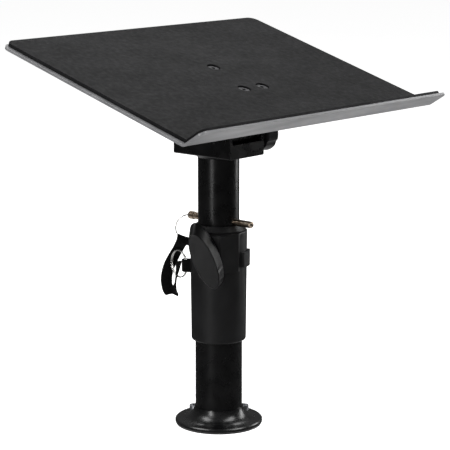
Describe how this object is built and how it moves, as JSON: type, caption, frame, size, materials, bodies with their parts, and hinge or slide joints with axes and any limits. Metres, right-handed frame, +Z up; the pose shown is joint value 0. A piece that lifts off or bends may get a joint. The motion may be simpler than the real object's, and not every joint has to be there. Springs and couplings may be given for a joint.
{
  "type": "tabletop music stand",
  "caption": "Tabletop stand with a padded tilting tray and front lip on a telescopic column with clamp collar, tethered locking pin and round flange foot.",
  "frame": {"origin": "column axis at the table surface, in the mouth of the table-bolt hole", "axes": "+Z up along the column; X along the tray's width; -Y towards the tray's front lip"},
  "size_m": [0.312, 0.2179, 0.3335],
  "materials": {
    "foot_rubber": "matt black rubber",
    "flange_paint": "glossy black powder coat",
    "zinc_screws": "zinc plated",
    "steel_inner": "plain steel",
    "column_paint": "satin black powder coat",
    "collar_plastic": "satin black glass-filled nylon",
    "bush_plastic": "black acetal",
    "nylon": "natural nylon",
    "knob_plastic": "satin black moulded plastic",
    "chrome_ring": "nickel plated spring wire",
    "webbing": "black woven webbing",
    "pin_steel": "yellow-passivated zinc plating, bronze tint",
    "brass_insert": "turned brass",
    "tray_paint": "satin dark grey powder coat",
    "mat": "black foam mat with a soft brushed surface",
    "black_screws": "black oxide"
  },
  "bodies": {
    "base": {"foot_pad": "foot_rubber", "base_flange": "flange_paint", "flange_screws": "zinc_screws", "tube_plug": "steel_inner", "plug_rivets": "column_paint", "lower_tube": "column_paint", "clamp_collar": "collar_plastic", "collar_bush": "bush_plastic", "clamp_nut": "steel_inner", "pressure_pad": "nylon", "tether_tab": "webbing", "split_ring": "chrome_ring", "lanyard_strap": "webbing"},
    "clamp_screw": {"clamp_stud": "steel_inner", "clamp_knob": "knob_plastic"},
    "slide_guide": {"tube_guide": "nylon"},
    "mast": {"upper_tube": "column_paint", "mast_bracket": "column_paint", "tilt_bolt": "column_paint", "tilt_spacer": "column_paint", "tilt_washer": "steel_inner"},
    "pin": {"locking_pin": "pin_steel", "wire_ring": "chrome_ring"},
    "tilt_lock": {"tilt_insert": "brass_insert", "tilt_knob": "knob_plastic"},
    "tray": {"tray_bracket": "column_paint", "tray_plate": "tray_paint", "tray_mat": "mat", "tray_screws": "black_screws", "tray_nuts": "zinc_screws"}
  },
  "joints": [
    {"name": "clamp_screw_turn", "type": "hinge", "parent": "base", "child": "clamp_screw", "pos_m": [0, 0, 0.152], "axis": [-0.9063, -0.4226, 0], "range_deg": [0, 270]},
    {"name": "height_slide", "type": "slide", "parent": "base", "child": "slide_guide", "axis": [0, 0, 1], "range_m": [0, 0.06], "deforming": ["lanyard_strap"]},
    {"name": "mast_swivel", "type": "hinge", "parent": "slide_guide", "child": "mast", "pos_m": [0, 0, 0.1], "axis": [0, 0, 1], "range_deg": [-15, 60]},
    {"name": "pin_pull", "type": "slide", "parent": "mast", "child": "pin", "axis": [0, 1, 0], "range_m": [0, 0.056]},
    {"name": "tilt_lock_turn", "type": "hinge", "parent": "mast", "child": "tilt_lock", "pos_m": [0, -0.02, 0.25], "axis": [1, 0, 0], "range_deg": [0, 270]},
    {"name": "tray_tilt", "type": "hinge", "parent": "mast", "child": "tray", "pos_m": [0, -0.02, 0.25], "axis": [1, 0, 0], "range_deg": [-17, 23]}
  ]
}
